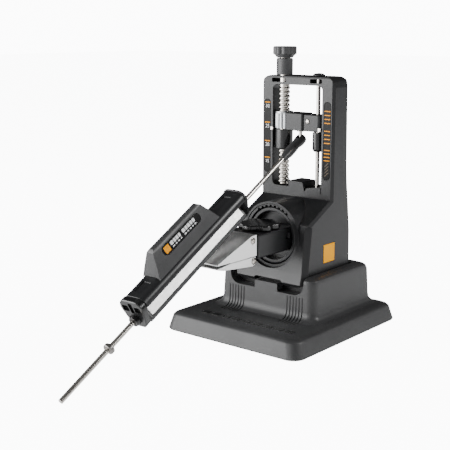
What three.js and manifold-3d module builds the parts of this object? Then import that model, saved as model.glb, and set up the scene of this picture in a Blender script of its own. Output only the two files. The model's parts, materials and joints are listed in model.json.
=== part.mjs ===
// Guided-rod honing guide: weighted base, lift-out tower with a carriage on a lead screw, ball-jointed guide
// rod with a three-sided abrasive holder, and a flip-over blade clamp. Millimetres, +Z up, front faces -Y.
import * as THREE from 'three';
import { mergeVertices } from 'three/addons/utils/BufferGeometryUtils.js';
import Module from 'manifold-3d';

const wasm = await Module();
wasm.setup();

// ---------- driving dimensions ----------
const GAP = 0.3;                 // clearance between neighbouring pieces
const FACE_Y = 14.5;             // front face of the upper tower
const BASE = { hx: 59, hy: 65, radius: 9, top: 13, foot: 0.3 };
const PAD = { hx: 53, hy: 59, thick: 2.5 };
const BALLAST = { hx: 43, hy: 45, z0: 3.2, z1: 8.4, wall: 1 };
const COLLAR = { hx: 41, front: -34, back: 34, top: 43.3, inner: 32.5, cavityFront: -27, cavityBack: 27.5 };
const COLLAR_MOUTH = { z: 30.5, tabHalf: 10, tabTop: 36 };
const GROOVE = { count: 6, first: 19.4, pitch: 2.6, width: 1.0, depth: 0.8, top: 29.5, reach: -45 };
const TOWER = { hx: 31.8, top: 180.5, bottom: 35, chamfer: 1.8, corner: 8 };
const WINDOW = { hx: 21.7, z0: 100, z1: 174, radius: 3.5 };
const SCREW = { x: -14.8, y: 5, radius: 4.1, root: 3.3, pitch: 3.2, z0: 101, z1: 196 };
const GUIDE = { x: 15.2, y: 5, radius: 1.5, z0: 92, z1: 180.2 };
const CARRIAGE = { z0: 141.3, z1: 154, front: -1.5, back: 12 };
const BALL = { y: 5, z: 134.3, radius: 2.0 };
const ROD = { pitch: THREE.MathUtils.degToRad(29), radius: 1.65, start: 5, end: 266, ring: 221.7 };
const LINER = { inner: 2.2, outer: 2.85, rear: -1.0, front: 1.6 };
const HOUSING = { outer: 3.95, cavity: 3.1, rear: -3.2, neck: 3.2, waist: 3.6, end: 24.5 };
const CORE = { u: -1.8, inradius: 4.9, corner: 2.6, start: 83.8, end: 189.3 };
const PLATE = { width: 7.0, thick: 1.0, face: 5.1, start: 85.5, length: 101.6 };
const GRIP = { u0: 12.9, u1: 29.4 };
const CLAMP = { z: 68.8, ring: 22.9, drum: 20.4, seat: 23.2 };
const BAR = { hx: 14.5, z0: 60, z1: 76.5, rear: -12, front: -63 };
const JAW = { hx: 14, rear: -64.3, tip: -105, seam: 62.4 };
const KNOB = { y: -43.8, radius: 15, lobe: 2.8, z0: 77, z1: 80.8 };

// ---------- placing and shaping helpers ----------
const basis = (x, y, z, origin = [0, 0, 0]) => new THREE.Matrix4()
  .makeBasis(new THREE.Vector3(...x), new THREE.Vector3(...y), new THREE.Vector3(...z))
  .setPosition(...origin);
const cosR = Math.cos(ROD.pitch);
const sinR = Math.sin(ROD.pitch);
const tower = (v) => FACE_Y + v;   // y measured from the upper tower's front face
const ballOrigin = [0, tower(BALL.y), BALL.z];
const FRAMES = {
  front: basis([1, 0, 0], [0, 0, 1], [0, -1, 0]),            // outline in (x, z), depth runs towards -Y
  side: basis([0, 1, 0], [0, 0, 1], [1, 0, 0]),              // outline in (y, z), depth runs towards +X
  rod: basis([1, 0, 0], [0, -sinR, cosR], [0, -cosR, -sinR], ballOrigin),   // (x, u), depth along the rod
  rodSide: basis([0, -cosR, -sinR], [0, -sinR, cosR], [-1, 0, 0], ballOrigin), // (t, u), depth towards -X
};

function solid(geometry) {
  const flat = geometry.clone();
  flat.deleteAttribute('normal');
  flat.deleteAttribute('uv');
  const welded = mergeVertices(flat, 1e-4);
  const pos = welded.attributes.position;
  const tris = [];
  let volume = 0;
  const [a, b, c] = [new THREE.Vector3(), new THREE.Vector3(), new THREE.Vector3()];
  for (let i = 0; i < welded.index.count; i += 3) {
    const [p, q, r] = [0, 1, 2].map((k) => welded.index.getX(i + k));
    if (p === q || q === r || r === p) continue;
    a.fromBufferAttribute(pos, p);
    b.fromBufferAttribute(pos, q);
    c.fromBufferAttribute(pos, r);
    volume += a.dot(b.cross(c));
    tris.push(p, q, r);
  }
  if (volume < 0) {
    for (let i = 0; i < tris.length; i += 3) [tris[i + 1], tris[i + 2]] = [tris[i + 2], tris[i + 1]];
  }
  return new wasm.Manifold(new wasm.Mesh({
    numProp: 3,
    vertProperties: new Float32Array(pos.array),
    triVerts: new Uint32Array(tris),
  }));
}

const union = (...parts) => parts.reduce((sum, part) => sum.add(part));
const cut = (body, ...tools) => tools.reduce((rest, tool) => rest.subtract(tool), body);
const shapeOf = (points) => new THREE.Shape(points.map(([x, y]) => new THREE.Vector2(x, y)));

function rounded(x0, y0, x1, y1, r) {
  const s = new THREE.Shape();
  s.moveTo(x0 + r, y0);
  s.lineTo(x1 - r, y0);
  s.absarc(x1 - r, y0 + r, r, -Math.PI / 2, 0);
  s.lineTo(x1, y1 - r);
  s.absarc(x1 - r, y1 - r, r, 0, Math.PI / 2);
  s.lineTo(x0 + r, y1);
  s.absarc(x0 + r, y1 - r, r, Math.PI / 2, Math.PI);
  s.lineTo(x0, y0 + r);
  s.absarc(x0 + r, y0 + r, r, Math.PI, Math.PI * 1.5);
  return s;
}

// An outline pushed along its depth axis from c0 to c1, with an optional chamfer on both ends.
function push(shape, c0, c1, frame = null, chamfer = 0, curveSegments = 4) {
  const geometry = new THREE.ExtrudeGeometry(shape, {
    depth: c1 - c0 - 2 * chamfer,
    bevelEnabled: chamfer > 0,
    bevelThickness: chamfer,
    bevelSize: chamfer,
    bevelOffset: -chamfer,
    bevelSegments: 1,
    curveSegments,
  });
  geometry.translate(0, 0, c0 + chamfer);
  if (frame) geometry.applyMatrix4(frame);
  return solid(geometry);
}

const box = (x0, x1, y0, y1, z0, z1) => {
  const geometry = new THREE.BoxGeometry(x1 - x0, y1 - y0, z1 - z0);
  geometry.translate((x0 + x1) / 2, (y0 + y1) / 2, (z0 + z1) / 2);
  return solid(geometry);
};

// A profile of [radius, height] pairs turned about +Z, or about another axis through a frame.
function turned(profile, segments = 32, frame = null, at = [0, 0, 0]) {
  const geometry = new THREE.LatheGeometry(profile.map(([r, h]) => new THREE.Vector2(r, h)), segments);
  geometry.rotateX(Math.PI / 2);
  geometry.translate(...at);
  if (frame) geometry.applyMatrix4(frame);
  return solid(geometry);
}

const rodShape = (r, h0, h1) => [[0, h0], [r, h0], [r, h1], [0, h1]];
const lobed = (radius, lobes, depth, steps = 5) => shapeOf(Array.from({ length: lobes * steps }, (_, i) => {
  const a = (i / (lobes * steps)) * Math.PI * 2;
  const r = radius - depth * (0.5 + 0.5 * Math.cos(lobes * a)) ** 2;
  return [r * Math.cos(a), r * Math.sin(a)];
}));

// A rounded slab whose outline steps inwards level by level: levels hold [height, inset].
function tapered(x0, y0, x1, y1, radius, levels) {
  const geometry = new THREE.ExtrudeGeometry(rounded(x0, y0, x1, y1, radius), {
    depth: 1, steps: levels.length - 1, bevelEnabled: false, curveSegments: 5,
  });
  const pos = geometry.attributes.position;
  const [mx, my] = [(x0 + x1) / 2, (y0 + y1) / 2];
  for (let i = 0; i < pos.count; i += 1) {
    const [height, inset] = levels[Math.round(pos.getZ(i) * (levels.length - 1))];
    const [dx, dy] = [pos.getX(i) - mx, pos.getY(i) - my];
    pos.setXYZ(i, mx + dx - Math.sign(dx) * inset, my + dy - Math.sign(dy) * inset, height);
  }
  return solid(geometry);
}

// ---------- the assembly ----------
const group = new THREE.Group();
const FINISH = {
  plastic: { color: 0x1b1c1d, roughness: 0.5, metalness: 0 },
  satin: { color: 0x2a2b2d, roughness: 0.38, metalness: 0 },
  rubber: { color: 0x121212, roughness: 0.85, metalness: 0 },
  steel: { color: 0xb8b6b0, roughness: 0.25, metalness: 1 },
  aluminium: { color: 0xd6d7d8, roughness: 0.35, metalness: 1 },
  plate: { color: 0xdedfdd, roughness: 0.55, metalness: 0.6 },
  orange: { color: 0xf0a63c, roughness: 0.5, metalness: 0 },
};

function add(name, body, finish) {
  const out = body.getMesh();
  const geometry = new THREE.BufferGeometry();
  geometry.setAttribute('position', new THREE.BufferAttribute(new Float32Array(out.vertProperties), 3));
  geometry.setIndex(new THREE.BufferAttribute(new Uint32Array(out.triVerts), 1));
  geometry.computeVertexNormals();
  const mesh = new THREE.Mesh(geometry, new THREE.MeshStandardMaterial(FINISH[finish]));
  mesh.name = name;
  group.add(mesh);
}

function base() {
  const plinth = tapered(-BASE.hx, -BASE.hy, BASE.hx, BASE.hy, BASE.radius,
    [[BASE.foot, 0.4], [1.2, 0], [10.8, 2.4], [12, 3.4], [12.7, 5.1], [BASE.top, 7.1]]);
  const wallY = COLLAR.front - 2;
  const flare = [[BASE.top - 0.6, 5.8], [13.3, 4.4], [14.1, 2.6], [15.4, 1.2], [17.2, 0.4], [20, 0]];
  const brow = [[4.2, 0.8], [1.5, 1.7], [0.4, 3.4], [0, 5.6]];
  const collar = tapered(-COLLAR.hx - 1, tower(wallY), COLLAR.hx + 1, tower(COLLAR.back + 6), 6.5,
    [...flare.map(([z, out]) => [z, -out]), ...brow.map(([drop, inset]) => [COLLAR.top - drop, inset])]);
  const backSlope = push(shapeOf([[tower(50), 12], [tower(50), 50], [tower(33.2), 50], [tower(40.3), 12]]),
    -60, 60, FRAMES.side);
  const cavity = push(rounded(-COLLAR.inner, tower(COLLAR.cavityFront), COLLAR.inner,
    tower(COLLAR.cavityBack), 1.2), BASE.top, 60);
  const tab = push(rounded(-COLLAR_MOUTH.tabHalf, 20, COLLAR_MOUTH.tabHalf, COLLAR_MOUTH.tabTop, 1),
    -tower(-28.5), 60, FRAMES.front);
  const mouth = cut(push(rounded(-COLLAR.inner, COLLAR_MOUTH.z, COLLAR.inner, 70, 8), -tower(-26), 60, FRAMES.front),
    tab);
  const underside = box(-PAD.hx - GAP, PAD.hx + GAP, -PAD.hy - GAP, PAD.hy + GAP, 0, PAD.thick + GAP);
  const well = box(-BALLAST.hx - GAP, BALLAST.hx + GAP, -BALLAST.hy - GAP, BALLAST.hy + GAP, 0, BALLAST.z1 + GAP);
  let body = cut(union(plinth, cut(collar, backSlope)), cavity, mouth, underside, well);
  const sunk = GROOVE.depth;
  const floor = [[GROOVE.reach - 2, BASE.top + 0.2], [GROOVE.reach, BASE.top - sunk]];
  const trace = flare.map(([z, out]) => [wallY - out + 0.7 * sunk, z - 0.7 * sunk + 0.2]);
  const outside = [[wallY + sunk, GROOVE.top], [-60, GROOVE.top], [-60, BASE.top + 0.2]];
  const groove = shapeOf([...floor, ...trace.slice(1), ...outside].map(([y, z]) => [tower(y), z]));
  for (const side of [-1, 1]) {
    for (let i = 0; i < GROOVE.count; i += 1) {
      const x = side * (GROOVE.first + i * GROOVE.pitch);
      body = cut(body, push(groove, x - GROOVE.width / 2, x + GROOVE.width / 2, FRAMES.side));
    }
  }
  const spots = [[-36, -38], [36, -38], [-36, 38], [36, 38]];
  const stems = spots.map(([x, y]) => turned(rodShape(3.6, BALLAST.z0 + 1.4, BASE.top - 1.5), 20, null, [x, y, 0]));
  const holes = spots.map(([x, y]) => turned(rodShape(1.8, 0, BASE.top - 2.5), 16, null, [x, y, 0]));
  add('base_body', cut(union(body, ...stems), ...holes), 'plastic');
  add('base_pad', push(rounded(-PAD.hx, -PAD.hy, PAD.hx, PAD.hy, 9), 0, PAD.thick), 'rubber');
  const plate = push(rounded(-BALLAST.hx, -BALLAST.hy, BALLAST.hx, BALLAST.hy, 4), BALLAST.z0, BALLAST.z1);
  add('ballast_plate', cut(plate, ...spots.map(([x, y]) => turned(rodShape(3.9, BALLAST.z0 + 1.2, 20), 20, null,
    [x, y, 0])), ...spots.map(([x, y]) => turned(rodShape(1.9, 0, 20), 16, null, [x, y, 0]))), 'steel');
  spots.forEach(([x, y], i) => {
    add(`base_screw_${i + 1}`, turned([[0, BALLAST.z0 - 0.35], [1.6, BALLAST.z0 - 0.35], [1.6, 10], [0, 10.3]],
      16, null, [x, y, 0]), 'steel');
  });
}

function towerFrame() {
  const top = TOWER.top;
  const profile = shapeOf([[0, top - 1.6], [0.5, top - 0.5], [1.6, top], [17, top], [18.2, top - 0.6],
    [18.6, top - 1.8], [19.7, 115], [20.7, 104], [22.9, 87], [25, 68], [25.4, 43], [25.2, TOWER.bottom],
    [-31.6, TOWER.bottom], [-33.4, 37.4], [-31.9, 45], [-30.4, 59], [-28.4, 75], [-27.3, 79], [0, 93.2]]
    .map(([y, z]) => [tower(y), z]));
  const slab = push(profile, -TOWER.hx, TOWER.hx, FRAMES.side, TOWER.chamfer);
  const outline = new THREE.Shape();
  outline.moveTo(-TOWER.hx, 30);
  outline.lineTo(TOWER.hx, 30);
  outline.lineTo(TOWER.hx, top - TOWER.corner);
  outline.absarc(TOWER.hx - TOWER.corner, top - TOWER.corner, TOWER.corner, 0, Math.PI / 2);
  outline.lineTo(-TOWER.hx + TOWER.corner, top);
  outline.absarc(-TOWER.hx + TOWER.corner, top - TOWER.corner, TOWER.corner, Math.PI / 2, Math.PI);
  const housing = turned(rodShape(24.6, -tower(6), -tower(-29.7)), 48, FRAMES.front, [0, CLAMP.z, 0]);
  const plug = box(-30.5, 30.5, tower(-26.2), tower(25), BASE.top + GAP, 48);
  let body = slab.intersect(push(outline, -60, 60, FRAMES.front));
  body = union(body, housing, plug);
  const window = push(rounded(-WINDOW.hx, WINDOW.z0, WINDOW.hx, WINDOW.z1, WINDOW.radius), -60, 10, FRAMES.front);
  const notch = push(rounded(-12.6, 20, 12.6, 38.7, 2.5), -tower(-27.5), 40, FRAMES.front);
  const lowCorners = [-1, 1].map((s) => cut(
    box(Math.min(s * 24, s * 40), Math.max(s * 24, s * 40), tower(-40), tower(-26.3), 30, 42),
    turned(rodShape(7.5, -40, 40), 24, FRAMES.front, [s * 24, 42.5, 0])));
  const rise = Math.atan2(5, 37.6);   // lean of the lower front face
  const edges = [-1, 1].map((s) => {
    const frame = basis([1, 0, 0], [0, Math.cos(rise), -Math.sin(rise)], [0, Math.sin(rise), Math.cos(rise)],
      [0, tower(-33.4), 37.4]);
    const corner = [[s * 27.5, -0.5], [s * 34, -0.5], [s * 34, 6]];
    return push(shapeOf(s > 0 ? corner : corner.reverse()), -6, 41, frame);
  });
  body = cut(body, window, notch, ...lowCorners, ...edges);
  const block = push(shapeOf([[-6, 98], [-6, 104.6], [5.6, 104.2], [6.6, 103.4], [7.9, 98]]),
    -tower(16), -tower(-0.9), FRAMES.front);
  const boss = push(shapeOf([[7.9, 97], [9.2, 99.6], [10, 100.3], [20, 101.6], [21.8, 101.6], [21.8, 97]]),
    -tower(16), -tower(-0.5), FRAMES.front);
  body = union(body, block, boss);
  const notchV = push(shapeOf([[7.7, 97.4], [6.9, 106], [10.6, 106], [9.0, 99.7]]), -tower(30), 20, FRAMES.front);
  const screwHole = turned(rodShape(SCREW.radius + GAP, SCREW.z0 - 1.5, 190), 32, null, [SCREW.x, tower(SCREW.y), 0]);
  const guideHole = turned(rodShape(GUIDE.radius + GAP, GUIDE.z0 - GAP, 190), 20, null, [GUIDE.x, tower(GUIDE.y), 0]);
  const slotLeft = push(rounded(-22.6, 175.6, -9.9, 178.6, 1), -tower(7), 10, FRAMES.front);
  const slotRight = push(rounded(11, 175.6, 21.3, 178.6, 1), -tower(7), 10, FRAMES.front);
  const scaleLeft = push(rounded(-29.4, 108.8, -23.4, 163.2, 2.9), -tower(0.9), 10, FRAMES.front);
  const scaleRight = push(rounded(23.2, 107.4, 29.4, 163.2, 3), -tower(0.9), 10, FRAMES.front);
  const bore = turned(rodShape(CLAMP.seat, -tower(-22.2), 40), 48, FRAMES.front, [0, CLAMP.z, 0]);
  const deep = turned(rodShape(CLAMP.drum + GAP, -tower(10), 40), 40, FRAMES.front, [0, CLAMP.z, 0]);
  const badges = [-1, 1].map((s) => box(Math.min(s * 31, s * 40), Math.max(s * 31, s * 40),
    tower(-9.9), tower(4.3), 49.2, 63));
  body = cut(body, notchV, screwHole, guideHole, slotLeft, slotRight, scaleLeft, scaleRight, bore, deep,
    ...badges);
  add('tower_frame', body, 'satin');
  add('scale_left', push(rounded(-29.1, 109.1, -23.7, 162.9, 2.6), -tower(0.6), -tower(0.1), FRAMES.front), 'plastic');
  add('scale_right', push(rounded(23.5, 107.7, 29.1, 162.9, 2.7), -tower(0.6), -tower(0.1), FRAMES.front), 'plastic');
  for (const [s, side] of [[-1, 'left'], [1, 'right']]) {
    add(`badge_${side}`, box(Math.min(s * 31.3, s * 32), Math.max(s * 31.3, s * 32), tower(-9.6), tower(4),
      49.5, 62.7), 'orange');
  }
  add('guide_rod', turned(rodShape(GUIDE.radius, GUIDE.z0, GUIDE.z1), 20, null, [GUIDE.x, tower(GUIDE.y), 0]), 'steel');
  add('guide_rod_cap', turned([[0, top + GAP], [4.5, top + GAP], [4.4, top + 1], [3, top + 2], [0, top + 2.4]], 24,
    null, [GUIDE.x, tower(GUIDE.y), 0]), 'plastic');
  const step = Math.PI / 18;
  const teeth = Array.from({ length: 36 }, (_, i) => {
    const a = i * step;
    const root = i >= 5 && i <= 12 ? 22.1 : 20.9;
    return [[root, a], [root, a + 0.45 * step], [20.9, a + 0.5 * step], [20.9, a + 0.95 * step]];
  }).flat().map(([r, a]) => [r * Math.cos(a), r * Math.sin(a)]);
  const ring = push(lobed(CLAMP.ring, 1, 0, 40), -tower(-22.6), -tower(-29.2), FRAMES.front)
    .translate([0, 0, CLAMP.z]);
  const toothed = push(shapeOf(teeth), -tower(-20), -tower(-34), FRAMES.front).translate([0, 0, CLAMP.z]);
  add('detent_ring', cut(ring, toothed), 'satin');
}

function leadScrew() {
  const at = [SCREW.x, tower(SCREW.y), 0];
  const { radius, root } = SCREW;
  const profile = [[0, SCREW.z0], [root - 0.3, SCREW.z0]];
  for (let z = SCREW.z0 + 1; z < 170; z += SCREW.pitch) {
    profile.push([root, z], [radius, z + 1.1], [radius, z + 1.9]);
  }
  profile.push([root + 0.3, 173], [root + 0.3, SCREW.z1], [0, SCREW.z1]);
  add('lead_screw', turned(profile, 12, null, at), 'steel');
  add('knob_stem', turned([[3.9, 180.9], [5.9, 180.9], [6, 181.6], [6, 192], [5.6, 192.7], [3.9, 192.7],
    [3.9, 180.9]], 32, null, at), 'plastic');
  const crown = push(lobed(8.9, 10, 1.1), 195.2, 201.2, null, 0.7).translate(at);
  const taper = turned([[0, 193], [5.8, 193], [7.7, 195.3], [7.7, 196], [0, 196]], 32, null, at);
  const seat = turned(rodShape(3.9, 190, SCREW.z1 + GAP), 24, null, at);
  add('adjust_knob', cut(union(crown, taper), seat), 'plastic');
}

function carriage() {
  const screwAt = [SCREW.x, tower(SCREW.y), 0];
  const guideAt = [GUIDE.x, tower(GUIDE.y), 0];
  const { z0, z1, front, back } = CARRIAGE;
  const screwHole = turned(rodShape(7, 100, 190), 32, null, screwAt);
  const guideHole = turned(rodShape(3.3, 100, 190), 24, null, guideAt);
  const studHole = turned(rodShape(1.6, 100, z0 + 8), 20, null, [0, tower(BALL.y), 0]);
  const centre = push(rounded(-9.4, tower(front), 6, tower(back), 1.5), z0, z1, null, 0.5);
  const wing = push(rounded(4, tower(-0.2), 20.6, tower(11), 3), z0, z1 - 0.6, null, 0.5);
  const screwPocket = turned(rodShape(1.9, -tower(6), 30), 20, FRAMES.front, [9.6, 148.4, 0]);
  add('carriage_block', cut(union(centre, wing), screwHole, guideHole, studHole, screwPocket), 'satin');
  const nut = push(lobed(6.5, 12, 0.7, 5), 142, 153).translate(screwAt);
  const lip = turned(rodShape(6.6, 153, 154.4), 32, null, screwAt);
  const bore = turned(rodShape(SCREW.radius + GAP, 100, 190), 28, null, screwAt);
  add('release_nut', cut(union(nut, lip), bore), 'aluminium');
  add('carriage_sleeve_left', cut(turned([[0, 126.8], [5.9, 126.8], [6.5, 127.6], [6.5, 141.4], [0, 141.4]], 32,
    null, screwAt), bore), 'plastic');
  const guideBore = turned(rodShape(GUIDE.radius + GAP, 100, 190), 20, null, guideAt);
  add('guide_bushing', cut(turned([[0, z0 - 0.2], [3, z0 - 0.2], [3, z1 - 0.9], [0, z1 - 0.9]], 24, null, guideAt),
    guideBore), 'steel');
  add('carriage_sleeve_right', cut(turned([[0, 126.7], [2.8, 126.7], [3.9, 128.4], [3.9, 140.6], [0, 140.6]], 28,
    null, guideAt), guideBore), 'plastic');
  add('pointer_left', push(shapeOf([[-21.6, 140.6], [-19.8, 141.2], [-19.8, 143], [-21.6, 143]]), -tower(-1.8),
    -tower(-2.6), FRAMES.front), 'steel');
  add('pointer_right', push(shapeOf([[21.4, 142.4], [19.4, 141], [19.4, 144.6], [21.4, 144.2]]), -tower(-0.6),
    -tower(-1.4), FRAMES.front), 'steel');
  add('block_screw', turned([[0, -tower(5.6)], [1.6, -tower(5.6)], [1.6, -tower(-0.6)], [0, -tower(-0.9)]], 16,
    FRAMES.front, [9.6, 148.4, 0]), 'steel');
}

function ballJoint() {
  const stem = turned(rodShape(1.3, BALL.z + 1.3, CARRIAGE.z0 + 7.5), 18, null, [0, tower(BALL.y), 0]);
  const flange = turned(rodShape(2.6, CARRIAGE.z0 - 1, CARRIAGE.z0 - GAP), 24, null, [0, tower(BALL.y), 0]);
  const ball = new THREE.SphereGeometry(BALL.radius, 16, 10);
  ball.translate(...ballOrigin);
  add('ball_stud', union(solid(ball), stem, flange), 'steel');
  const sphere = (r) => {
    const geometry = new THREE.SphereGeometry(r, 16, 10);
    geometry.rotateX(Math.PI / 2);
    geometry.applyMatrix4(FRAMES.rod);
    return solid(geometry);
  };
  const shell = (r0, r1) => cut(sphere(r1), sphere(r0));
  const rodCyl = (r, t0, t1, segments = 28) => turned(rodShape(r, t0, t1), segments, FRAMES.rod);
  const slot = push(shapeOf([[-12, -0.8], [3, -0.8], [3, 9], [-12, 9]]), -1.6, 1.6, FRAMES.rodSide);
  const liner = (t0, t1) => shell(LINER.inner, LINER.outer).intersect(rodCyl(6, t0, t1));
  add('ball_liner_rear', cut(liner(-2.5, LINER.rear), slot), 'plastic');
  add('ball_liner_front', liner(LINER.front, LINER.outer), 'plastic');
  const { outer, rear, neck, waist, end } = HOUSING;
  const shape = turned([[0, rear], [2.7, rear], [outer - 0.4, rear + 0.8], [outer, rear + 2], [outer, 2.6],
    [neck, 7], [waist, 10.5], [waist, 17], [neck - 0.1, 20.5], [2.5, end], [0, end]], 32, FRAMES.rod);
  add('socket_housing', cut(shape, sphere(HOUSING.cavity), slot, rodCyl(ROD.radius + GAP, 4.5, 40, 20),
    rodCyl(1.3, -6, 0, 20)), 'plastic');
  add('guide_bar', rodCyl(ROD.radius, ROD.start, ROD.end, 20), 'steel');
  add('stop_ring', cut(turned([[0, ROD.ring - 1.5], [3.2, ROD.ring - 1.5], [3.65, ROD.ring - 1], [3.65, ROD.ring + 1],
    [3.2, ROD.ring + 1.5], [0, ROD.ring + 1.5]], 28, FRAMES.rod), rodCyl(ROD.radius + 0.05, 200, 240, 20)), 'steel');
}

function holder() {
  const rodHole = turned(rodShape(ROD.radius + GAP, 60, 230), 20, FRAMES.rod);
  const facet = (angle, halfWidth, d0, d1) => {
    const [nx, ny] = [Math.cos(angle), Math.sin(angle)];
    return [[-halfWidth, d0], [halfWidth, d0], [halfWidth, d1], [-halfWidth, d1]]
      .map(([w, d]) => [nx * d - ny * w, CORE.u + ny * d + nx * w]);
  };
  const sides = [['right', Math.PI / 6], ['left', Math.PI * 5 / 6], ['bottom', -Math.PI / 2]];
  const { inradius, corner } = CORE;
  const triangle = new THREE.Shape();
  for (const angle of [-Math.PI / 6, Math.PI / 2, Math.PI * 7 / 6]) {
    const reach = 2 * (inradius - corner);
    triangle.absarc(reach * Math.cos(angle), CORE.u + reach * Math.sin(angle), corner,
      angle - Math.PI / 3, angle + Math.PI / 3);
  }
  const back = PLATE.face - PLATE.thick;
  const pockets = sides.map(([, angle]) => push(shapeOf(facet(angle, PLATE.width / 2 + 0.28, back - GAP, 9)),
    PLATE.start - GAP, PLATE.start + PLATE.length + GAP, FRAMES.rod));
  add('holder_core', cut(push(triangle, CORE.start, CORE.end, FRAMES.rod), rodHole, ...pockets), 'plastic');
  for (const [side, angle] of sides) {
    add(`abrasive_plate_${side}`, push(shapeOf(facet(angle, PLATE.width / 2, back, PLATE.face)), PLATE.start,
      PLATE.start + PLATE.length, FRAMES.rod), 'plate');
  }
  const arch = new THREE.Shape();
  arch.moveTo(-1.3, 5.75);
  arch.lineTo(1.3, 5.75);
  arch.lineTo(2.9, 4.7);
  arch.lineTo(9.4, 7.6);
  arch.absarc(3.6, 8.1, 5.8, 0, Math.PI / 2);
  arch.absarc(-3.6, 8.1, 5.8, Math.PI / 2, Math.PI);
  arch.lineTo(-9.4, 7.6);
  arch.lineTo(-2.9, 4.7);
  const body = push(arch, 82.4, 190.4, FRAMES.rod, 0.4);
  const recess = (t0, t1) => push(rounded(t0, 13.2, t1, 20, 0.4), -3.4, 3.4, FRAMES.rodSide);
  add('holder_shell', cut(body, recess(88, 103), recess(176, 186)), 'plastic');
  const cap = new THREE.Shape();
  cap.moveTo(-4.4, -6.5);
  cap.lineTo(4.4, -6.5);
  cap.lineTo(6.7, -4.4);
  cap.lineTo(9.9, 7.2);
  cap.absarc(3.7, 8.2, 6.2, 0.1, Math.PI / 2);
  cap.absarc(-3.7, 8.2, 6.2, Math.PI / 2, Math.PI - 0.1);
  cap.lineTo(-9.9, 7.2);
  cap.lineTo(-6.7, -4.4);
  add('holder_end_upper', cut(push(cap, 80.2, 82.1, FRAMES.rod, 0.5), rodHole), 'plastic');
  const hub = turned([[0, 193], [4.2, 193], [3.9, 197.4], [3.4, 198.4], [0, 198.4]], 28, FRAMES.rod);
  const cavities = [[-7.6, 5.6, -2.4, 10.2], [-1.6, 4.6, 1.6, 12.4], [2.4, 5.6, 7.6, 10.2]]
    .map(([x0, u0, x1, u1]) => push(rounded(x0, u0, x1, u1, 0.8), 193.4, 200, FRAMES.rod));
  const lower = cut(union(push(cap, 190.7, 195.2, FRAMES.rod, 0.5), hub), rodHole, ...cavities);
  add('holder_end_lower', lower, 'plastic');
  const fin = push(shapeOf([[107.4, 12.6], [172.4, 12.6], [169.6, 18.6], [165.4, 27.8], [163.2, GRIP.u1],
    [116.8, GRIP.u1], [114.6, 27.8], [110.2, 18.6]]), -7.8, 7.8, FRAMES.rodSide);
  const section = shapeOf([[-7.6, 12], [7.6, 12], [5.9, 18.6], [2.7, 28.4], [1.7, GRIP.u1], [-1.7, GRIP.u1],
    [-2.7, 28.4], [-5.9, 18.6]]);
  let grip = fin.intersect(push(section, 100, 180, FRAMES.rod));
  const archSeat = push(arch, 60, 240, FRAMES.rod);
  grip = cut(grip, archSeat.translate([0, -sinR * GAP, cosR * GAP]));
  const lean = Math.atan2(2.9, 9.4);
  const labelFrame = (s) => basis([0, -s * cosR, -s * sinR], [-s * Math.sin(lean), -sinR * Math.cos(lean),
    cosR * Math.cos(lean)], [s * Math.cos(lean), -sinR * Math.sin(lean), cosR * Math.sin(lean)], [0, 0, 0]);
  const place = (s) => {
    const t = 139.6;
    const u = 23.6;
    const x = s * 4.35;
    return labelFrame(s).setPosition(x, ballOrigin[1] - cosR * t - sinR * u, ballOrigin[2] - sinR * t + cosR * u);
  };
  for (const s of [-1, 1]) grip = cut(grip, push(rounded(-19.6, -3.5, 19.6, 3.5, 3.4), -0.9, 3, place(s)));
  add('holder_grip', grip, 'plastic');
  for (const [s, side] of [[-1, 'left'], [1, 'right']]) {
    add(`grip_label_${side}`, push(rounded(-19.3, -3.2, 19.3, 3.2, 3.1), -0.6, -0.05, place(s)), 'plastic');
  }
}

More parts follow.
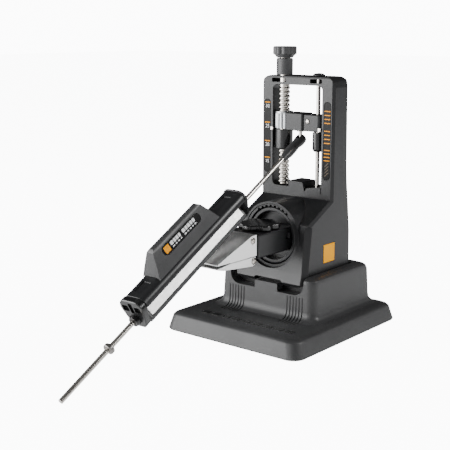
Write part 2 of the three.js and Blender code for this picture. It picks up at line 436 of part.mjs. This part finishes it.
function clamp() {
  const axisAt = [0, CLAMP.z, 0];
  const about = (profile, segments) => turned(profile, segments, FRAMES.front, axisAt);
  const face = -tower(-28.2);
  const drum = about([[0, -tower(9.6)], [CLAMP.drum - 1, -tower(9.6)], [CLAMP.drum, -tower(8.6)],
    [CLAMP.drum, face - 0.8], [CLAMP.drum - 0.6, face], [17.8, face], [17.4, face - 0.8], [17.4, face - 7],
    [0, face - 7]], 48);
  const pocket = box(-BAR.hx - GAP, BAR.hx + GAP, tower(-40), tower(BAR.rear + GAP), BAR.z0 - GAP, BAR.z1 + GAP);
  add('clamp_drum', cut(drum, pocket), 'satin');
  const bar = push(rounded(-BAR.hx, BAR.z0, BAR.hx, BAR.z1, 1.2), -tower(BAR.rear), -tower(BAR.front), FRAMES.front, 0.5);
  const screwAt = [0, tower(KNOB.y), 0];
  const screwHole = turned(rodShape(3.3, 40, 90), 20, null, screwAt);
  const tongueSlot = box(-9.3, 9.3, tower(-70), tower(-55.7), 63.7, 72.3);
  const keyNotch = box(BAR.hx - 1.2, BAR.hx + 1, tower(-31), tower(-27.5), 68.5, 72.5);
  add('clamp_bar', cut(bar, screwHole, tongueSlot, keyNotch), 'plastic');
  const at = (y, z) => [tower(y), z];
  const upperProfile = shapeOf([at(JAW.rear, 77.2), at(-69.6, 76.9), at(-104.4, 64), at(-105, 63.6), at(-105, 62.9),
    at(-92.6, 62.9), at(-92.2, JAW.seam + 0.2), at(JAW.rear, JAW.seam + 0.2)]);
  const lowerProfile = shapeOf([at(JAW.rear - 0.9, 57.2), at(JAW.rear - 0.9, JAW.seam - 0.1),
    at(-92.4, JAW.seam - 0.1), at(-105.4, 60.9), at(-105.2, 60.3), at(-99.3, 58.8), at(-68.7, 55.9)]);
  const screwSpots = [['upper', -68.3, 73.6], ['lower', -67.2, 59.4]];
  const holeAt = (y, z) => turned(rodShape(1.5, -20, 20), 16, FRAMES.side, at(y, z).concat(0));
  const headSeat = (y, z) => [-1, 1].map((s) => turned(rodShape(2.5, s > 0 ? JAW.hx - 0.7 : -20,
    s > 0 ? 20 : -JAW.hx + 0.7), 20, FRAMES.side, at(y, z).concat(0)));
  const tongue = box(-9, 9, tower(-56), tower(JAW.rear - 3), 64, 72);
  const upper = cut(union(push(upperProfile, -JAW.hx, JAW.hx, FRAMES.side), tongue), holeAt(-68.3, 73.6),
    ...headSeat(-68.3, 73.6));
  add('jaw_upper', upper, 'aluminium');
  add('jaw_lower', cut(push(lowerProfile, -JAW.hx, JAW.hx, FRAMES.side), holeAt(-67.2, 59.4),
    ...headSeat(-67.2, 59.4)), 'aluminium');
  for (const [name, y, z] of screwSpots) {
    for (const [s, side] of [[-1, 'left'], [1, 'right']]) {
      const profile = [[0, s > 0 ? 6 : -6], [1.2, s > 0 ? 6 : -6], [1.2, s * (JAW.hx - 0.4)],
        [2.2, s * (JAW.hx - 0.4)], [2.1, s * (JAW.hx + 0.5)], [1.2, s * (JAW.hx + 0.9)], [0, s * (JAW.hx + 1)]];
      const slot = (hy, hz) => box(Math.min(s * (JAW.hx + 0.4), s * 20), Math.max(s * (JAW.hx + 0.4), s * 20),
        tower(y) - hy, tower(y) + hy, z - hz, z + hz);
      const screw = turned(profile, 18, FRAMES.side, at(y, z).concat(0));
      add(`jaw_screw_${name}_${side}`, cut(screw, slot(1.3, 0.35), slot(0.35, 1.3)), 'steel');
    }
  }
  const knobTop = push(lobed(KNOB.radius, 6, KNOB.lobe, 8), KNOB.z0, KNOB.z1, null, 0.7).translate(screwAt);
  add('clamp_knob', cut(knobTop, turned(rodShape(3.3, 40, 79.3), 20, null, screwAt)), 'plastic');
  add('clamp_screw', turned([[0, 61], [2.6, 61], [3, 61.6], [3, 79], [0, 79]], 20, null, screwAt), 'steel');
}

base();
towerFrame();
leadScrew();
carriage();
ballJoint();
holder();
clamp();

export default group;
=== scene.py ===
"""Looks for the guided-rod honing guide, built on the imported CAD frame. Metres, +Z up, front faces -Y."""

import json
import math

import bmesh
import bpy
from mathutils import Matrix, Vector


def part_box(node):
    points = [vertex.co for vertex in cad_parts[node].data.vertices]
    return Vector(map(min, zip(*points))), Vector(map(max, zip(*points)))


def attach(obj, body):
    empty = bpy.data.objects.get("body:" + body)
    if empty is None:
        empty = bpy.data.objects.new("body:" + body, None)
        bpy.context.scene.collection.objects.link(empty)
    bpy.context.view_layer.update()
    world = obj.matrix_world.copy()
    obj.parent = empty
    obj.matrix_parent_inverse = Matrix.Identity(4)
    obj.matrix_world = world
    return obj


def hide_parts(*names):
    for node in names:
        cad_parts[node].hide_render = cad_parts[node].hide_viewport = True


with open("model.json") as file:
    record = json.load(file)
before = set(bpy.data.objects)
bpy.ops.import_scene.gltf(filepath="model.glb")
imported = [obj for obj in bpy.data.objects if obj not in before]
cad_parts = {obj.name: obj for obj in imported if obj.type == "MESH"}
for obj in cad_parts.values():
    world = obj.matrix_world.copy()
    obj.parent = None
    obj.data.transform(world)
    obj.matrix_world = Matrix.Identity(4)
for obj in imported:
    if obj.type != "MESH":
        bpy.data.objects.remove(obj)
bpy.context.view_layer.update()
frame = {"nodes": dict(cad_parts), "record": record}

MM = 0.001
FACE_Y = 14.5  # front face of the upper tower, mm
COLLECTION = bpy.context.scene.collection
NODE_BODY = {
    node: body
    for body, nodes in frame["record"]["behaviour"]["bodies"].items()
    for node in nodes
}


# ---------- camera and lights ----------
def place_camera(position_mm, azimuth, down, roll, lens, shift):
    az, dn = math.radians(azimuth), math.radians(down)
    look = Vector((-math.sin(az) * math.cos(dn), math.cos(az) * math.cos(dn), -math.sin(dn)))
    right = Vector((math.cos(az), math.sin(az), 0))
    up = right.cross(look)
    turn = Matrix((right, up, -look)).transposed() @ Matrix.Rotation(math.radians(roll), 3, "Z")
    data = bpy.data.cameras.new("camera")
    data.lens = lens
    data.sensor_width = 36
    data.shift_x, data.shift_y = shift
    data.clip_start, data.clip_end = 0.01, 20
    camera = bpy.data.objects.new("camera", data)
    camera.matrix_world = Matrix.Translation(Vector(position_mm) * MM) @ turn.to_4x4()
    COLLECTION.objects.link(camera)
    bpy.context.scene.camera = camera


def area_light(name, position, target, size, power, colour=(1, 1, 1)):
    data = bpy.data.lights.new(name, "AREA")
    data.shape = "RECTANGLE"
    data.size, data.size_y = size
    data.energy = power
    data.color = colour
    light = bpy.data.objects.new(name, data)
    aim = (Vector(target) - Vector(position)).to_track_quat("-Z", "Y")
    light.matrix_world = Matrix.Translation(position) @ aim.to_matrix().to_4x4()
    COLLECTION.objects.link(light)


place_camera(position_mm=(400.8, -547.6, 214.7), azimuth=39.56, down=11.17, roll=-0.04, lens=76.44,
             shift=(-0.0084, -0.0206))
CENTRE = (0, -0.03, 0.08)
area_light("key_front_left", (-1.0, -1.0, 0.8), CENTRE, (0.9, 0.7), 14)
area_light("low_front_left", (-0.85, -1.1, 0.16), CENTRE, (1.3, 0.35), 17)
area_light("front_fill", (0.1, -1.4, 0.5), CENTRE, (0.8, 0.6), 6)
area_light("side_right", (1.2, 0.55, 0.92), CENTRE, (0.6, 0.35), 16)
area_light("top_soft", (-0.2, 0.1, 1.7), CENTRE, (1.4, 1.4), 1.5)


PALE = (0.96, 0.965, 0.97, 1)
SKY_SEEN, SKY_LIT = 12.0, 0.06
FLOOR_SEEN, FLOOR_LIT = 11.0, 0.8


def camera_glow(nodes, links, colour, seen, lit):
    """Set a pale colour and return a strength: high where the camera looks, low for the light thrown."""
    path = nodes.new("ShaderNodeLightPath")
    strength = nodes.new("ShaderNodeMapRange")
    strength.inputs["To Min"].default_value = lit
    strength.inputs["To Max"].default_value = seen
    links.new(path.outputs["Is Camera Ray"], strength.inputs["Value"])
    colour.default_value = PALE
    return strength.outputs[0]


world = bpy.data.worlds.new("studio")
world.use_nodes = True
bpy.context.scene.world = world
sky = world.node_tree.nodes["Background"]
sky_tree = world.node_tree
glow = camera_glow(sky_tree.nodes, sky_tree.links, sky.inputs["Color"], SKY_SEEN, SKY_LIT)
sky_tree.links.new(glow, sky.inputs["Strength"])


# ---------- materials ----------
def shader(name, base, rough, metallic=0.0):
    material = bpy.data.materials.new(name)
    material.use_nodes = True
    nodes = material.node_tree.nodes
    bsdf = nodes["Principled BSDF"]
    bsdf.inputs["Base Color"].default_value = (*base, 1)
    bsdf.inputs["Roughness"].default_value = rough
    bsdf.inputs["Metallic"].default_value = metallic
    return material, nodes, material.node_tree.links, bsdf


NOISE_LOW, NOISE_HIGH = 0.6, 1.4  # usual range of two noises added together
TINT_LOW, TINT_HIGH = 0.3, 0.7  # the same range halved, where the colour changes
GRAIN_DEPTH = 0.05 * MM


def surface_detail(material_parts, base, rough, spread, tint, coarse, fine, bump, stretch=(1, 1, 1)):
    """Blotchy colour and roughness at a coarse scale; grain as bump at a fine one, stretched for brushing."""
    material, nodes, links, bsdf = material_parts
    coord = nodes.new("ShaderNodeTexCoord")
    mapping = nodes.new("ShaderNodeMapping")
    mapping.inputs["Scale"].default_value = stretch
    links.new(coord.outputs["Object"], mapping.inputs["Vector"])
    big = nodes.new("ShaderNodeTexNoise")
    big.inputs["Scale"].default_value = coarse
    big.inputs["Detail"].default_value = 4
    links.new(coord.outputs["Object"], big.inputs["Vector"])
    grain = nodes.new("ShaderNodeTexNoise")
    grain.inputs["Scale"].default_value = fine
    grain.inputs["Detail"].default_value = 3
    links.new(mapping.outputs["Vector"], grain.inputs["Vector"])
    mixed = nodes.new("ShaderNodeMath")
    mixed.operation = "ADD"
    links.new(big.outputs["Fac"], mixed.inputs[0])
    links.new(grain.outputs["Fac"], mixed.inputs[1])
    rough_map = nodes.new("ShaderNodeMapRange")
    rough_map.inputs["From Min"].default_value = NOISE_LOW
    rough_map.inputs["From Max"].default_value = NOISE_HIGH
    rough_map.inputs["To Min"].default_value = rough - spread
    rough_map.inputs["To Max"].default_value = rough + spread
    links.new(mixed.outputs[0], rough_map.inputs["Value"])
    links.new(rough_map.outputs[0], bsdf.inputs["Roughness"])
    ramp = nodes.new("ShaderNodeValToRGB")
    ramp.color_ramp.elements[0].position = TINT_LOW
    ramp.color_ramp.elements[1].position = TINT_HIGH
    ramp.color_ramp.elements[0].color = (*[c * (1 - tint) for c in base], 1)
    ramp.color_ramp.elements[1].color = (*[min(1, c * (1 + tint)) for c in base], 1)
    halved = nodes.new("ShaderNodeMath")
    halved.operation = "MULTIPLY"
    halved.inputs[1].default_value = 0.5
    links.new(mixed.outputs[0], halved.inputs[0])
    links.new(halved.outputs[0], ramp.inputs["Fac"])
    links.new(ramp.outputs["Color"], bsdf.inputs["Base Color"])
    relief = nodes.new("ShaderNodeBump")
    relief.inputs["Strength"].default_value = bump
    relief.inputs["Distance"].default_value = GRAIN_DEPTH
    links.new(grain.outputs["Fac"], relief.inputs["Height"])
    links.new(relief.outputs["Normal"], bsdf.inputs["Normal"])
    return material


def make(name, base, rough, metallic=0.0, spread=0.05, tint=0.15, coarse=60, fine=2600, bump=0.3,
         stretch=(1, 1, 1)):
    parts = shader(name, base, rough, metallic)
    return surface_detail(parts, base, rough, spread, tint, coarse, fine, bump, stretch)


MATERIALS = {
    "satin": make("satin_black_plastic", (0.014, 0.0143, 0.0153), 0.33, bump=0.22),
    "textured": make("textured_black_plastic", (0.04, 0.0405, 0.0415), 0.4, bump=0.3, fine=2200),
    "gloss": make("gloss_black_plastic", (0.008, 0.008, 0.0085), 0.22, bump=0.1, fine=1500),
    "inlay": make("black_inlay", (0.002, 0.002, 0.002), 0.3, tint=0.3, bump=0.05, fine=1500),
    "rubber": make("black_rubber", (0.016, 0.016, 0.016), 0.8, bump=0.8, fine=1400),
    "steel": make("bright_steel", (0.6, 0.57, 0.53), 0.22, 1.0, 0.06, 0.08, 90, 900, 0.12, (1, 1, 6)),
    "dark_steel": make("oiled_steel", (0.25, 0.24, 0.23), 0.32, 1.0, 0.08, 0.2, 90, 900, 0.25, (1, 1, 5)),
    "aluminium": make("brushed_aluminium", (0.96, 0.96, 0.95), 0.34, 1.0, 0.08, 0.05, 120, 700, 0.35,
                      (12, 0.5, 12)),
    "nut": make("turned_aluminium", (0.4, 0.41, 0.42), 0.3, 1.0, 0.06, 0.1, 120, 900, 0.2, (1, 1, 8)),
    "grit": make("diamond_plate", (0.97, 0.97, 0.95), 0.42, 0.5, 0.1, 0.1, 420, 2600, 1.0),
    "orange": make("orange_enamel", (1.0, 0.42, 0.0), 0.55, 0.0, 0.05, 0.06, 80, 1500, 0.1),
    "ink_orange": make("orange_print", (1.0, 0.36, 0.0), 0.6, 0.0, 0.05, 0.1, 300, 2500, 0.2),
    "ink_white": make("white_print", (0.85, 0.86, 0.87), 0.5, 0.0, 0.05, 0.1, 300, 2500, 0.2),
    "ink_brown": make("brown_print", (0.06, 0.035, 0.012), 0.5, 0.0, 0.05, 0.2, 300, 2500, 0.2),
    "base": make("moulded_base_plastic", (0.04, 0.0405, 0.0415), 0.44, bump=0.5, fine=1900),
}
SHEEN = {"satin": 0.35, "inlay": 0.12, "base": 0.45, "orange": 0.1, "ink_orange": 0.1}
for finish, level in SHEEN.items():
    MATERIALS[finish].node_tree.nodes["Principled BSDF"].inputs["Specular IOR Level"].default_value = level


# ---------- mesh helpers ----------
def new_object(name, mesh, body, material):
    obj = bpy.data.objects.new(name, mesh)
    COLLECTION.objects.link(obj)
    mesh.materials.clear()
    mesh.materials.append(MATERIALS[material])
    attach(obj, body)
    return obj


def finish_mesh(mesh, sharp_angle):
    for polygon in mesh.polygons:
        polygon.use_smooth = True
    mesh.set_sharp_from_angle(angle=math.radians(sharp_angle))


def edge_rounded(mesh, name, width, segments, limit):
    """The mesh with every edge sharper than the limit rounded off."""
    holder = bpy.data.objects.new(name, mesh)
    COLLECTION.objects.link(holder)
    bevel = holder.modifiers.new("round", "BEVEL")
    bevel.width = width * MM
    bevel.segments = segments
    bevel.limit_method = "ANGLE"
    bevel.angle_limit = math.radians(limit)
    bevel.use_clamp_overlap = True
    graph = bpy.context.evaluated_depsgraph_get()
    result = bpy.data.meshes.new_from_object(holder.evaluated_get(graph))
    bpy.data.objects.remove(holder)
    return result


def refined(node, material, width=0.4, segments=2, limit=32, sharp=38):
    """A finer copy of a CAD node: welded, flat facets joined, edges rounded, smooth where it curves."""
    mesh = frame["nodes"][node].data.copy()
    bm = bmesh.new()
    bm.from_mesh(mesh)
    bmesh.ops.remove_doubles(bm, verts=bm.verts, dist=2e-6)
    bmesh.ops.dissolve_limit(bm, angle_limit=math.radians(0.6), verts=bm.verts, edges=bm.edges)
    bm.to_mesh(mesh)
    bm.free()
    if width:
        mesh = edge_rounded(mesh, node + ".work", width, segments, limit)
    finish_mesh(mesh, sharp)
    obj = new_object(node + ".fine", mesh, NODE_BODY[node], material)
    smooth = obj.modifiers.new("normals", "WEIGHTED_NORMAL")
    smooth.keep_sharp = True
    smooth.weight = 80
    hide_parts(node)
    return obj


# Each refined node with its finish, the width of its rounded edges in mm and the steps in them.
REFINED = {
    "base_body": ("base", 0.9, 3),
    "base_pad": ("rubber", 0.3, 2),
    "ballast_plate": ("dark_steel", 0.3, 2),
    "tower_frame": ("satin", 0.55, 3),
    "scale_left": ("inlay", 0.12, 2),
    "scale_right": ("inlay", 0.12, 2),
    "badge_left": ("orange", 0.15, 2),
    "badge_right": ("orange", 0.15, 2),
    "guide_rod": ("steel", 0.2, 2),
    "guide_rod_cap": ("satin", 0.2, 2),
    "detent_ring": ("satin", 0.12, 1),
    "knob_stem": ("textured", 0.25, 2),
    "adjust_knob": ("textured", 0.4, 3),
    "carriage_block": ("satin", 0.35, 3),
    "release_nut": ("nut", 0.2, 2),
    "carriage_sleeve_left": ("gloss", 0.3, 2),
    "carriage_sleeve_right": ("gloss", 0.3, 2),
    "guide_bushing": ("steel", 0.15, 2),
    "pointer_left": ("steel", 0.12, 2),
    "pointer_right": ("steel", 0.12, 2),
    "block_screw": ("steel", 0.15, 2),
    "ball_stud": ("steel", 0.15, 2),
    "ball_liner_rear": ("textured", 0.05, 1),
    "ball_liner_front": ("textured", 0.05, 1),
    "socket_housing": ("textured", 0.25, 2),
    "guide_bar": ("steel", 0.3, 2),
    "stop_ring": ("dark_steel", 0.2, 2),
    "holder_core": ("textured", 0.3, 2),
    "holder_shell": ("satin", 0.7, 3),
    "holder_end_upper": ("satin", 0.35, 3),
    "holder_end_lower": ("gloss", 0.35, 3),
    "holder_grip": ("textured", 1.5, 5),
    "grip_label_left": ("gloss", 0.1, 2),
    "grip_label_right": ("gloss", 0.1, 2),
    "abrasive_plate_left": ("grit", 0.12, 2),
    "abrasive_plate_right": ("grit", 0.12, 2),
    "abrasive_plate_bottom": ("grit", 0.12, 2),
    "clamp_drum": ("satin", 0.3, 2),
    "clamp_bar": ("satin", 0.4, 3),
    "clamp_knob": ("gloss", 0.5, 3),
    "clamp_screw": ("dark_steel", 0.2, 2),
    "jaw_upper": ("aluminium", 0.2, 2),
    "jaw_lower": ("aluminium", 0.2, 2),
    "jaw_screw_upper_left": ("steel", 0.15, 2),
    "jaw_screw_upper_right": ("steel", 0.15, 2),
    "jaw_screw_lower_left": ("steel", 0.15, 2),
    "jaw_screw_lower_right": ("steel", 0.15, 2),
    **{f"base_screw_{i}": ("dark_steel", 0.15, 2) for i in range(1, 5)},
}
for node_name, (finish_name, width_mm, steps) in REFINED.items():
    refined(node_name, finish_name, width_mm, steps)


# ---------- lead screw with a real helix ----------
THREAD = {"root": 3.3 * MM, "crest": 4.1 * MM, "pitch": 3.2 * MM, "ends_at": 172 * MM}
STEM_SHARE = 0.9  # plain stem above the thread, as a share of the screw's half width
THREAD_SIDES = 40
THREAD_SHARP = 50  # degrees
THREAD_STEP = 0.25 * MM
THREAD_PEAK = 2.4  # height of the thread's flanks extended to a point, in thread depths
THREAD_FALL = 6.4  # slope of the flanks, in thread depths per pitch


def thread_radius(z, turn, half_width):
    """Radius at a height and a share of a turn: a flat-topped thread below, a plain stem above."""
    if z > THREAD["ends_at"]:
        return half_width * STEM_SHARE
    phase = (z / THREAD["pitch"] - turn) % 1.0
    rise = max(0.0, min(1.0, THREAD_PEAK - abs(phase - 0.5) * THREAD_FALL))
    return THREAD["root"] + (THREAD["crest"] - THREAD["root"]) * rise


def helix_screw(node, body):
    (x0, y0, z0), (x1, y1, z1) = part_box(node)
    cx, cy = (x0 + x1) / 2, (y0 + y1) / 2
    rows = int((z1 - z0) / THREAD_STEP)
    bm = bmesh.new()
    rings = []
    for k in range(rows + 1):
        z = z0 + (z1 - z0) * k / rows
        ring = []
        for i in range(THREAD_SIDES):
            turn = i / THREAD_SIDES
            radius = thread_radius(z, turn, (x1 - x0) / 2)
            angle = turn * math.tau
            ring.append(bm.verts.new((cx + radius * math.cos(angle), cy + radius * math.sin(angle), z)))
        rings.append(ring)
    for low, high in zip(rings, rings[1:]):
        for i in range(THREAD_SIDES):
            j = (i + 1) % THREAD_SIDES
            bm.faces.new((low[i], low[j], high[j], high[i]))
    bm.faces.new(list(reversed(rings[0])))
    bm.faces.new(rings[-1])
    mesh = bpy.data.meshes.new(node + ".fine")
    bm.to_mesh(mesh)
    bm.free()
    finish_mesh(mesh, THREAD_SHARP)
    obj = new_object(node + ".fine", mesh, body, "steel")
    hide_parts(node)


helix_screw("lead_screw", "lead_screw")


# ---------- printed and raised marks ----------
def plate_frame(origin_mm, right, up):
    """Local axes of a mark: x along right, y along up, z out of the surface."""
    x, y = Vector(right).normalized(), Vector(up).normalized()
    return Matrix.Translation(Vector(origin_mm) * MM) @ Matrix((x, y, x.cross(y))).transposed().to_4x4()


def tile(name, points, place, height, body, material):
    """A thin patch with a small raised face: outline in mm in the local plane, standing proud by height."""
    bm = bmesh.new()
    top = [bm.verts.new(place @ Vector((x * MM, y * MM, height * MM))) for x, y in points]
    low = [bm.verts.new(place @ Vector((x * MM, y * MM, 0))) for x, y in points]
    bm.faces.new(top)
    bm.faces.new(list(reversed(low)))
    for i, _ in enumerate(points):
        j = (i + 1) % len(points)
        bm.faces.new((top[j], top[i], low[i], low[j]))
    bmesh.ops.recalc_face_normals(bm, faces=bm.faces)
    mesh = bpy.data.meshes.new(name)
    bm.to_mesh(mesh)
    bm.free()
    return new_object(name, mesh, body, material)


def bar(x0, x1, y, thick):
    return [(x0, y - thick / 2), (x1, y - thick / 2), (x1, y + thick / 2), (x0, y + thick / 2)]


def slanted(x, y, length, height, lean):
    return [(x, y), (x + length, y), (x + length + lean, y + height), (x + lean, y + height)]


# Angle scales on the tower's front: heights in mm above the bench.
LEFT_TICKS = {30: 160.6, 25: 145.9, 20: 132.2, 15: 119.9}
RIGHT_TICKS = [156.5, 153.7, 150.9, 148.1, 142.5, 139.7, 136.8, 134.0, 129.0, 126.6, 124.1, 121.6]
LEFT_X = (-28.7, -24.1)
RIGHT_X = (23.9, 28.7)
TICK_THICK = 0.6
BEDDED = 0.02  # how deep a print starts under the face that it lies on
TICK_RISE = 0.1
FINE_RISE = 0.08
NUMBER = {"size": 3.6, "half_depth": 0.04, "x": -26.4, "below_tick": 3.9}
HATCH = {"count": 4, "x": 24.3, "z": 110.2, "pitch": 2.3, "length": 0.9, "height": 3.0}

scale_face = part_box("scale_left")[0][1] / MM
scale_place = plate_frame((0, scale_face + BEDDED, 0), (1, 0, 0), (0, 0, 1))


def scale_number(degrees, tick_z):
    data = bpy.data.curves.new(f"number_{degrees}", "FONT")
    data.body = str(degrees)
    data.size = NUMBER["size"] * MM
    data.extrude = NUMBER["half_depth"] * MM
    data.align_x = "CENTER"
    number = bpy.data.objects.new(f"number_{degrees}", data)
    COLLECTION.objects.link(number)
    spot = Vector((NUMBER["x"], scale_face - FINE_RISE, tick_z - NUMBER["below_tick"])) * MM
    number.matrix_world = Matrix.Translation(spot) @ Matrix.Rotation(math.pi / 2, 4, "X")
    data.materials.append(MATERIALS["ink_white"])
    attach(number, "tower")


for degrees, z in LEFT_TICKS.items():
    tile(f"tick_left_{degrees}", bar(*LEFT_X, z, TICK_THICK), scale_place, TICK_RISE, "tower", "ink_orange")
    scale_number(degrees, z)
for i, z in enumerate(RIGHT_TICKS):
    tile(f"tick_right_{i + 1}", bar(*RIGHT_X, z, TICK_THICK), scale_place, TICK_RISE, "tower", "ink_orange")
for i in range(HATCH["count"]):
    foot = HATCH["z"] + HATCH["pitch"] * i
    stroke = slanted(HATCH["x"], foot, HATCH["length"], HATCH["height"], HATCH["height"])
    tile(f"hatch_right_{i + 1}", stroke, scale_place, FINE_RISE, "tower", "ink_brown")

# Label print on each side of the grip: an orange tile and two rows of white bars, in mm from its middle.
ROD_TILT = math.radians(29)
ROD_DOWN = Vector((0, -math.cos(ROD_TILT), -math.sin(ROD_TILT)))
ROD_UP = Vector((0, -math.sin(ROD_TILT), math.cos(ROD_TILT)))
GRIP_LEAN = math.atan2(2.9, 9.4)  # the grip's sides close in by 2.9 mm over 9.4 mm
TILE_SPAN = (-17.4, -12.6)
TILE_Y, TILE_HIGH = 0.1, 4.6
PRINT_START = -11.0
WORD_GAP = 1.6
WORDS = ((3.2, 2.4, 2.8, 2.4), (3.2, 2.4, 2.8, 2.4, 2.8))
LETTER_GAP = 0.6
BAR_Y, BAR_HIGH = 0.9, 2.4
DASH_Y, DASH_HIGH = -1.7, 0.8
DASH_INSET = (0.4, 0.2)


def label_place(side, side_name):
    """Axes of the label's outer face: x up the rod on the right side and down it on the left."""
    label = frame["nodes"][f"grip_label_{side_name}"]
    corners = [label.matrix_world @ v.co for v in label.data.vertices]
    middle = sum(corners, Vector()) / len(corners)
    up = ROD_UP * math.cos(GRIP_LEAN) - Vector((side * math.sin(GRIP_LEAN), 0, 0))
    place = plate_frame(middle / MM, -side * ROD_DOWN, up)
    outward = max((place.inverted() @ corner).z for corner in corners) / MM - BEDDED
    return place @ Matrix.Translation((0, 0, outward * MM))


def label_print(side, side_name):
    place = label_place(side, side_name)
    tile_ends = sorted(side * end for end in TILE_SPAN)
    square = bar(*tile_ends, TILE_Y, TILE_HIGH)
    tile(f"label_tile_{side_name}", square, place, FINE_RISE, "holder", "ink_orange")
    cursor = PRINT_START
    number = 0
    for word in WORDS:
        for run in word:
            x0, x1 = sorted((side * cursor, side * (cursor + run - LETTER_GAP)))
            letter = bar(x0, x1, BAR_Y, BAR_HIGH)
            dash = bar(x0 + DASH_INSET[0], x1 - DASH_INSET[1], DASH_Y, DASH_HIGH)
            tile(f"label_bar_{side_name}_{number}", letter, place, FINE_RISE, "holder", "ink_white")
            tile(f"label_dash_{side_name}_{number}", dash, place, FINE_RISE, "holder", "ink_white")
            cursor += run
            number += 1
        cursor += WORD_GAP
        number += 1


label_print(-1, "left")
label_print(1, "right")

# Plain raised dashes moulded into the top of the foot, in front of the collar.
DASH = {"count": 9, "x": -37, "pitch": 9.2, "y": -63.2, "length": 5.8, "width": 4.6, "lean": 0.6, "rise": 0.4}
FOOT_TOP_Z = 12.95
foot_top = plate_frame((0, FACE_Y, FOOT_TOP_Z), (1, 0, 0), (0, 1, 0))
for k in range(DASH["count"]):
    outline = slanted(DASH["x"] + DASH["pitch"] * k, DASH["y"], DASH["length"], DASH["width"], DASH["lean"])
    tile(f"raised_dash_{k + 1}", outline, foot_top, DASH["rise"], "base", "gloss")


# ---------- floor ----------
def add_floor():
    bm = bmesh.new()
    bmesh.ops.create_grid(bm, x_segments=1, y_segments=1, size=6)
    mesh = bpy.data.meshes.new("floor")
    bm.to_mesh(mesh)
    bm.free()
    floor = bpy.data.objects.new("floor", mesh)
    COLLECTION.objects.link(floor)
    material, nodes, links, bsdf = shader("pale_floor", (0.86, 0.865, 0.87), 0.6)
    strength = camera_glow(nodes, links, bsdf.inputs["Emission Color"], FLOOR_SEEN, FLOOR_LIT)
    links.new(strength, bsdf.inputs["Emission Strength"])
    mesh.materials.append(material)


add_floor()
